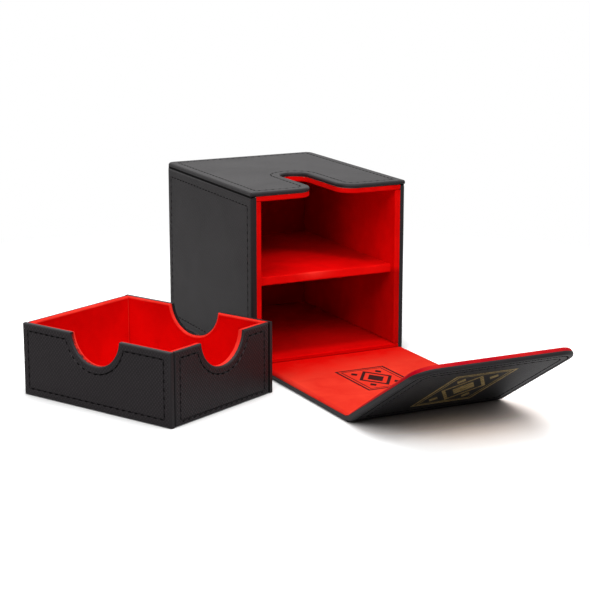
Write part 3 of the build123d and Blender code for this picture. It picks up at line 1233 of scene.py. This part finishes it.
def flap_lining():
    """The lining of both flap panels in one sheet, which creases at the fold."""
    low, high = own_box("front_flap_lining")
    free = own_box("top_flap_lining")[0].y
    start_y = own_box("front_flap_cover")[0].y
    end_y = own_box("top_flap_cover")[1].y
    begin_y = base_point.y - base_lining_reach
    last = Vector((high.x, begin_y + cutter_overrun, high.z))
    sheet = block("flap_lining", Vector((low.x, start_y, low.z)), last)
    rings = [(y, low.z, high.z) for y in spaced(start_y, end_y, fold_rings)]
    extend(sheet, FRONT, rings + [(free, low.z, high.z)])
    free_corners(sheet, "top_flap_lining")
    soften_rim(sheet, UP, flap_lining_edge)
    pick_face(sheet, UP)
    bpy.ops.mesh.inset(thickness=fibre_border, depth=-fibre_border_depth, use_even_offset=True)

    # painted shade on the lining's edges, more on the top flap's
    def flap_edge_shade(place):
        return front_flap_edge_shade_share if place.y > fold_point.y else top_flap_edge_shade_share

    mark_edge(sheet, flap_edge_shade)
    pick(sheet, "FACE", lambda face: True)
    bpy.ops.mesh.bisect(plane_co=(0, begin_y, 0), plane_no=BACK, use_fill=True, clear_outer=True)
    leave_edit()
    lay_grain(sheet)
    bend_at_fold(sheet, start_y, end_y)
    smooth(sheet)
    finish_as(sheet, "painted lit flap microfibre")
    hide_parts("front_flap_lining", "top_flap_lining", "fold_strip_lining")
    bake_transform(sheet)


def base_lining():
    """The lining from the case's floor to the flap, with a narrow crease in front of the case."""
    low, high = own_box("front_flap_lining")
    floor_low, floor_high = own_box("floor_lining")
    far_y = base_point.y - base_lining_reach
    start_y = floor_low.y
    near_y = start_y + fibre_edge
    thick = high.z - low.z
    first = Vector((low.x, base_point.y - fibre_edge, low.z))
    sheet = block("base_lining", first, Vector((high.x, base_point.y, high.z)))
    round_long_edges(sheet, high.z, flap_lining_edge)
    extend(sheet, FRONT, [(far_y, low.z, high.z)])

    def crease_at(y):
        return bump_at(y, start_y - crease_place, crease_width)

    rings = []
    for y in spaced(base_point.y, near_y, base_rings):
        share = smooth_step((y - base_point.y) / (near_y - base_point.y))
        top = high.z + (floor_high.z - fibre_edge - high.z) * share - crease_depth * crease_at(y)
        rings.append((y, top - thick * (1 - base_thinning_share * share), top))
    extend(sheet, BACK, rings)
    tops = [(far_y, high.z), (base_point.y, high.z)] + [(y, top) for y, _, top in rings]
    flat_length = sum(math.dist(first, second) for first, second in zip(tops, tops[1:]))
    # painted shade in the crease
    note_painted_light(sheet, lambda place: -crease_painted_shade_share * crease_at(place.y))
    lay_grain(sheet)
    smooth(sheet)
    finish_as(sheet, "painted lit flap microfibre")
    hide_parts("base_strip_lining")
    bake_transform(sheet)


def hinge_strip(node, height, begin_y, bodies, axis_y, end_y):
    """A strip of leatherette at a hinge, flat on the table up to the hinge; the strip at the fold is turned
    to the fold's rest angle beyond that.
    """
    low, high = own_box(node)
    start_y = axis_y + bend_reach
    strip = block(node + "_leatherette", Vector((low.x, start_y, 0)), Vector((high.x, begin_y, height)))
    round_long_edges(strip, 0, flap_edge)
    extend(strip, FRONT, [(y, 0, height) for y in spaced(start_y, end_y, strip_rings)])
    lay_grain(strip)
    if "top_flap" in bodies:
        bend_at_fold(strip, start_y, end_y)
    smooth(strip)
    finish_as(strip, "leatherette")
    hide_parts(node)
    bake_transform(strip)


def raise_rim(panel, first_y, last_y, lip):
    """Raises a cover's sides between two places, so that less of the lining's edge shows there."""
    level = piece_box(panel)[1].z

    def on_rim(corner):
        between = first_y - same_place < corner.co.y < last_y + same_place
        return between and near(corner.co.z, level)

    pick(panel, "VERT", on_rim)
    bpy.ops.transform.translate(value=UP * lip)
    leave_edit()


def front_flap_shape(panel):
    """Raises the front cover's sides, and more beside the fold."""
    low, high = own_box("front_flap_cover")
    raise_rim(panel, low.y, high.y, flap_side_lip)
    raise_rim(panel, low.y, low.y, flap_lip - flap_side_lip)


def top_flap_shape(panel):
    """Rounds the top cover's free corners, and raises its rim at the fold and the free end."""
    low, high = own_box("top_flap_cover")
    free_corners(panel, "top_flap_cover")
    raise_rim(panel, high.y, high.y, flap_lip)
    raise_rim(panel, low.y, low.y + flap_corner_radius, flap_free_lip)


def flap():
    """The two leatherette panels, the hinge strips beside them and the linings over them."""
    leather_panel(
        "front_flap_cover", DOWN, "front_flap", flap_edge, flap_seam_inset,
        shape=front_flap_shape,
    )
    leather_panel(
        "top_flap_cover", DOWN, "top_flap", flap_edge, flap_seam_inset,
        shape=top_flap_shape, second_seam=True,
    )
    front_low, front_high = own_box("front_flap_cover")
    hinge_strip(
        "base_strip", base_strip_height, own_box("floor_lining")[0].y,
        ("case", "front_flap"), base_point.y, front_high.y,
    )
    hinge_strip(
        "fold_strip", front_high.z + flap_lip, front_low.y,
        ("front_flap", "top_flap"), fold_point.y, own_box("top_flap_cover")[1].y,
    )
    flap_lining()
    base_lining()


# Ornaments

def flat_shape(half_width, half_length, place, turned):
    """A flat lozenge, or a flat rectangle where it is turned, square to Z."""
    bpy.ops.object.select_all(action="DESELECT")
    turn = (0, 0, math.radians(45) if turned else 0)
    radius = math.sqrt(2) if turned else 1
    bpy.ops.mesh.primitive_circle_add(vertices=4, radius=radius, fill_type="NGON", rotation=turn)
    apply_place()
    shape = bpy.context.object
    shape.scale = (half_width, half_length, 1)
    shape.location = place
    apply_place()
    return shape


def outlined(shape, line):
    """Leaves only a line round the edge of a flat shape."""
    pick(shape, "FACE", lambda face: True)
    bpy.ops.mesh.inset(thickness=line, use_even_offset=True)
    bpy.ops.mesh.delete(type="FACE")
    leave_edit()
    return shape


def framed_lozenge(name, half_width, half_length, middle):
    """Two frames round a lozenge within a lozenge, and a small one in each corner."""
    shapes = []
    for k in (0, 1):
        inner = k * frame_gap
        frame_shape = flat_shape(half_width - inner, half_length - inner, middle, True)
        shapes.append(outlined(frame_shape, frame_line / (k + 1)))
    field = Vector((half_width - 2 * frame_gap, half_length - 2 * frame_gap, 0))
    shapes.append(outlined(flat_shape(field.x, field.y, middle, False), lozenge_line))
    shapes.append(flat_shape(field.x * core_share, field.y * core_share, middle, False))
    for side_x in (-1, 1):
        for side_y in (-1, 1):
            place = middle + Vector((side_x * field.x, side_y * field.y, 0)) * corner_place_share
            shapes.append(flat_shape(field.x * corner_share, field.y * corner_share, place, False))
    ornament = joined(name, shapes)
    lay_grain(ornament)
    use_modifier(ornament, "SOLIDIFY", thickness=2 * ornament_rise, offset=0)
    return ornament


def foil_ornament():
    """Gold foil on the flap's outside."""
    low, high = own_box("top_flap_cover")
    middle = Vector((0, (low.y + high.y) / 2, low.z))
    foil = framed_lozenge("flap_foil", foil_half_width, foil_half_length, middle)
    settle(foil, "top_flap", "foil", "leatherette")


def lining_print():
    """Dark print on the flap's lining."""
    low, high = own_box("front_flap_lining")
    middle = Vector((0, (low.y + high.y) / 2, high.z - fibre_border_depth))
    ink = framed_lozenge("lining_print", print_half_width, print_half_length, middle)
    settle(ink, "front_flap", "print", "microfibre")


# Stage

def floor():
    """A white floor that keeps the object's shadow, with a painted contact shadow close round what stands
    on it and painted warm bounce light under the flap.
    """
    bpy.ops.object.select_all(action="DESELECT")
    bpy.ops.mesh.primitive_plane_add(size=floor_size, location=(0, 0, 0))
    made, tree, shader = new_material("white_floor")
    path = put(tree, "ShaderNodeLightPath").outputs
    seen = path["Is Camera Ray"]
    unseen = mix(tree, path["Is Glossy Ray"], floor_white, floor_white_in_gloss)
    painted_contact_shadow = put(tree, "ShaderNodeAmbientOcclusion", {"Distance": contact_reach}).outputs["AO"]
    place = put(tree, "ShaderNodeTexCoord").outputs["Object"]

    def distance_to(point):
        made = put(tree, "ShaderNodeVectorMath", {0: place, 1: point}, operation="DISTANCE")
        return made.outputs["Value"]

    # painted warm bounce light in the flap's shadow
    painted_bounce_share = fit(tree, distance_to(painted_bounce_middle), 1.0, 0.0, painted_bounce_reach / 2, painted_bounce_reach)
    tinted = mix(tree, painted_bounce_share, floor_white_seen, floor_white_painted_bounce)
    # painted contact shadow: the floor is darker close round what stands on it
    dimmed = scaled(tree, tinted, fit(tree, painted_contact_shadow, contact_white_share, 1.0))
    near_white = mix(tree, seen, unseen, dimmed)
    away = fit(tree, distance_to(floor_middle), 0.0, 1.0, shadow_reach, shadow_reach + shadow_fade)
    far = work(tree, "MULTIPLY", seen, away)
    feed(tree, shader, {
        "Base Color": mix(tree, far, near_white, black),
        "Emission Color": mix(tree, far, black, white),
    })
    keep(shader, {"Emission Strength": 1.0, "Roughness": 0.9, "Specular IOR Level": 0.0})
    ground = bpy.context.object
    ground.name = "floor"
    ground.data.materials.append(made)


def surroundings():
    """White where the camera and the gloss look, dimmer as light."""
    world = bpy.data.worlds.new("white_room")
    bpy.context.scene.world = world
    world.use_nodes = True
    tree = world.node_tree
    path = put(tree, "ShaderNodeLightPath").outputs
    direct = work(tree, "MAXIMUM", path["Is Camera Ray"], path["Is Glossy Ray"])
    direct = work(tree, "MAXIMUM", direct, path["Is Transmission Ray"])
    looking = put(tree, "ShaderNodeTexCoord").outputs["Generated"]
    height = put(tree, "ShaderNodeSeparateXYZ", {0: looking}).outputs["Z"]
    light = fit(tree, height, room_light_low, room_light_high)
    strength = put(tree, "ShaderNodeMix", {0: direct, 2: light, 3: 1.0}).outputs[0]
    tree.links.new(strength, tree.nodes["Background"].inputs["Strength"])
    keep(tree.nodes["Background"], {"Color": white})


def lamp(name, watts, width, depth, place):
    """A soft rectangular lamp that points at the object."""
    bpy.ops.object.light_add(type="AREA", location=place)
    made = bpy.context.object
    made.name = name
    made.data.energy = watts
    made.data.shape = "RECTANGLE"
    made.data.size = width
    made.data.size_y = depth
    made.rotation_euler = (lamps_aim - place).to_track_quat("-Z", "Y").to_euler()


def camera():
    """The camera, at the photograph's viewing angle."""
    back = Vector((
        math.sin(camera_azimuth) * math.cos(camera_elevation),
        -math.cos(camera_azimuth) * math.cos(camera_elevation),
        math.sin(camera_elevation),
    ))
    bpy.ops.object.camera_add(
        location=camera_aim + back * camera_distance,
        rotation=(-back).to_track_quat("-Z", "Y").to_euler(),
    )
    made = bpy.context.object
    made.data.lens = camera_lens_mm
    made.data.clip_end = camera_reach
    bpy.context.scene.camera = made


# The whole object

for solid in frame["nodes"].values():
    slot_name = next(s["material_slot"] for s in frame["record"]["subparts"] if s["node"] == solid.name)
    solid.data.materials.clear()
    solid.data.materials.append(finishes[slot_name])

stitch = stitch_model()
case_walls()
case_plates()
case_linings()
shelf()
tray_panels()
flap()
foil_ornament()
lining_print()
bpy.data.objects.remove(stitch)

floor()
surroundings()
lamp("top_light", **top_light)
lamp("front_light", **front_light)
lamp("side_light", **side_light)
camera()
bpy.context.scene.view_settings.view_transform = "Standard"
